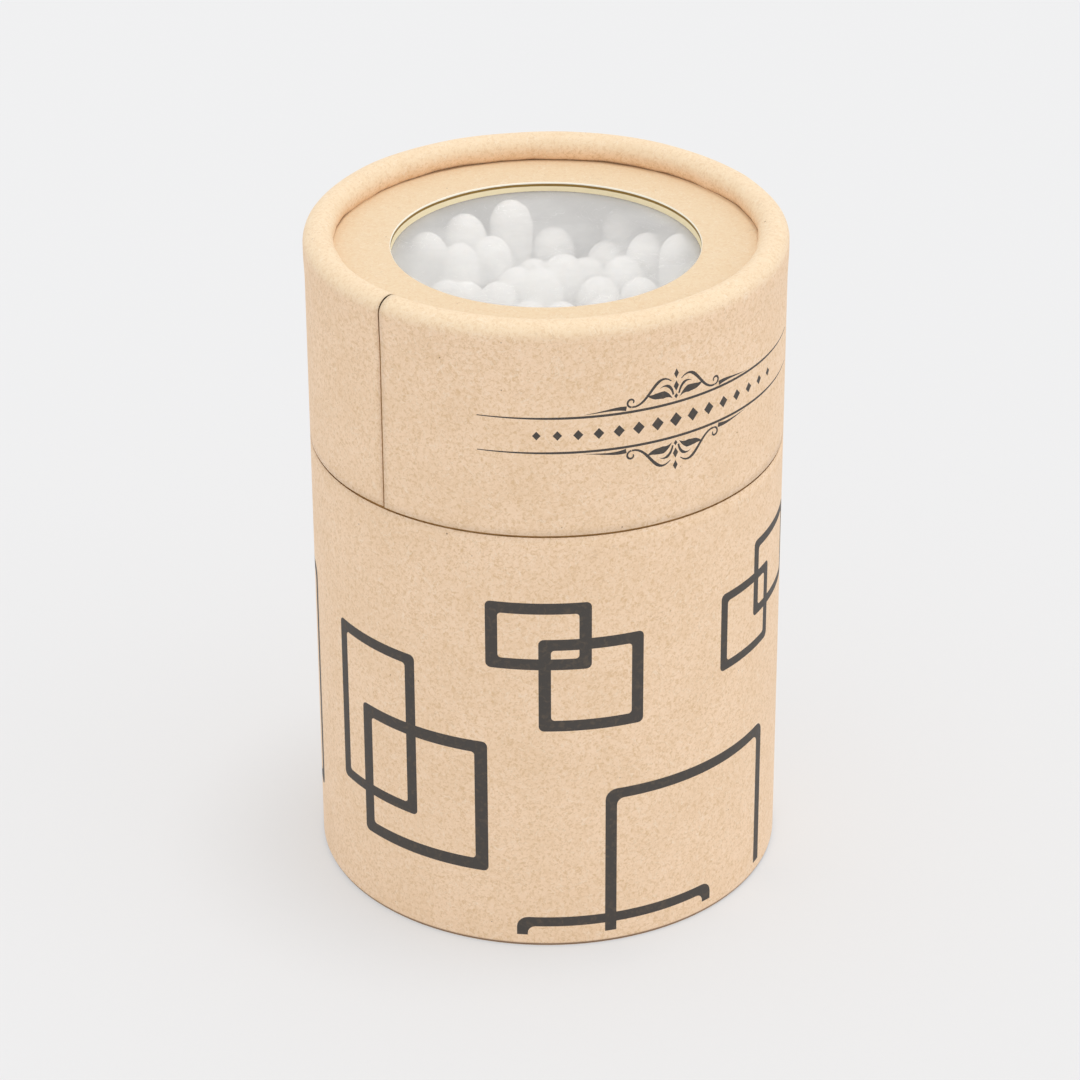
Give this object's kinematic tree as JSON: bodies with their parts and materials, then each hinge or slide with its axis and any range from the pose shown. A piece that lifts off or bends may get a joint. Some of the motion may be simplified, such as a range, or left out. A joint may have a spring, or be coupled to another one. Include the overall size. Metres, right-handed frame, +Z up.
{
  "type": "cotton swab tub",
  "caption": "Round board tub with a lift-off lid, a rolled rim and a recessed clear window, full of upright cotton swabs.",
  "frame": {"origin": "middle of the tub's foot, on the surface it stands on", "axes": "+Z up along the tub's axis, -Y towards the front, where the lid's print is a little to the right"},
  "size_m": [0.06, 0.06, 0.0875],
  "materials": {
    "kraft_wrap": "matt kraft paper with dark grey line print",
    "kraft_disc": "matt kraft-faced board",
    "grey_board": "raw wound board",
    "liner_board": "matt pale liner board",
    "window_film": "clear film",
    "cotton": "wound cotton",
    "swab_stick": "plain bamboo"
  },
  "bodies": {
    "base": {"base_tube": "grey_board", "base_disc": "grey_board", "neck_tube": "liner_board", "base_wrap": "kraft_wrap", "swab_sticks_ring_0": "swab_stick", "swab_sticks_ring_1": "swab_stick", "swab_sticks_ring_2": "swab_stick", "swab_sticks_ring_3": "swab_stick", "swab_sticks_ring_4": "swab_stick", "cotton_buds_upper_ring_0": "cotton", "cotton_buds_upper_ring_1": "cotton", "cotton_buds_upper_ring_2": "cotton", "cotton_buds_upper_ring_3": "cotton", "cotton_buds_upper_ring_4": "cotton", "cotton_buds_lower_ring_0": "cotton", "cotton_buds_lower_ring_1": "cotton", "cotton_buds_lower_ring_2": "cotton", "cotton_buds_lower_ring_3": "cotton", "cotton_buds_lower_ring_4": "cotton"},
    "lid": {"lid_sleeve": "grey_board", "lid_wrap": "kraft_wrap", "lid_disc": "kraft_disc", "window_film": "window_film"}
  },
  "joints": [
    {"name": "lid_lift", "type": "slide", "parent": "base", "child": "lid", "axis": [0, 0, 1], "range_m": [0, 0.04]}
  ]
}
